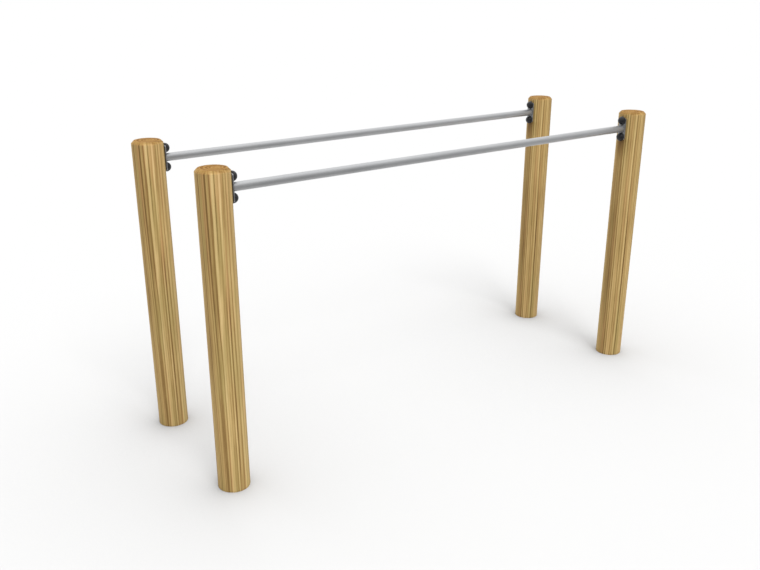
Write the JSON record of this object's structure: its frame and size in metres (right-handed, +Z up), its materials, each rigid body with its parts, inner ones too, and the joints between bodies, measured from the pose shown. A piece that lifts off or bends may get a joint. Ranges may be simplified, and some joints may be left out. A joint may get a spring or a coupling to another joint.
{
  "type": "parallel bars",
  "caption": "Outdoor parallel bars: level steel bars held side by side between chamfered round timber posts by bolted end plates with domed caps.",
  "frame": {"origin": "centre of the footprint on the ground, which is where the posts end", "axes": "+X along the bars from left to right, +Y from the front bar to the back bar, +Z up"},
  "size_m": [2.242, 0.722, 1.225],
  "materials": {
    "timber": "machine-rounded, impregnated softwood, uncoated, streaked grain along the post",
    "bar_steel": "satin, fine lines along the tube",
    "plate_steel": "satin galvanised",
    "weld_steel": "rippled weld bead, galvanised",
    "fastener_steel": "zinc plated",
    "cap_plastic": "black moulded plastic, low sheen"
  },
  "bodies": {
    "root": {"bar_front": "bar_steel", "bar_back": "bar_steel", "post_front_left": "timber", "end_plate_front_left": "plate_steel", "weld_front_left": "weld_steel", "coach_screw_front_left_upper": "fastener_steel", "washer_front_left_upper": "fastener_steel", "cap_base_front_left_upper": "cap_plastic", "cap_dome_front_left_upper": "cap_plastic", "coach_screw_front_left_lower": "fastener_steel", "washer_front_left_lower": "fastener_steel", "cap_base_front_left_lower": "cap_plastic", "cap_dome_front_left_lower": "cap_plastic", "post_front_right": "timber", "end_plate_front_right": "plate_steel", "weld_front_right": "weld_steel", "coach_screw_front_right_upper": "fastener_steel", "washer_front_right_upper": "fastener_steel", "cap_base_front_right_upper": "cap_plastic", "cap_dome_front_right_upper": "cap_plastic", "coach_screw_front_right_lower": "fastener_steel", "washer_front_right_lower": "fastener_steel", "cap_base_front_right_lower": "cap_plastic", "cap_dome_front_right_lower": "cap_plastic", "post_back_left": "timber", "end_plate_back_left": "plate_steel", "weld_back_left": "weld_steel", "coach_screw_back_left_upper": "fastener_steel", "washer_back_left_upper": "fastener_steel", "cap_base_back_left_upper": "cap_plastic", "cap_dome_back_left_upper": "cap_plastic", "coach_screw_back_left_lower": "fastener_steel", "washer_back_left_lower": "fastener_steel", "cap_base_back_left_lower": "cap_plastic", "cap_dome_back_left_lower": "cap_plastic", "post_back_right": "timber", "end_plate_back_right": "plate_steel", "weld_back_right": "weld_steel", "coach_screw_back_right_upper": "fastener_steel", "washer_back_right_upper": "fastener_steel", "cap_base_back_right_upper": "cap_plastic", "cap_dome_back_right_upper": "cap_plastic", "coach_screw_back_right_lower": "fastener_steel", "washer_back_right_lower": "fastener_steel", "cap_base_back_right_lower": "cap_plastic", "cap_dome_back_right_lower": "cap_plastic"}
  },
  "joints": []
}
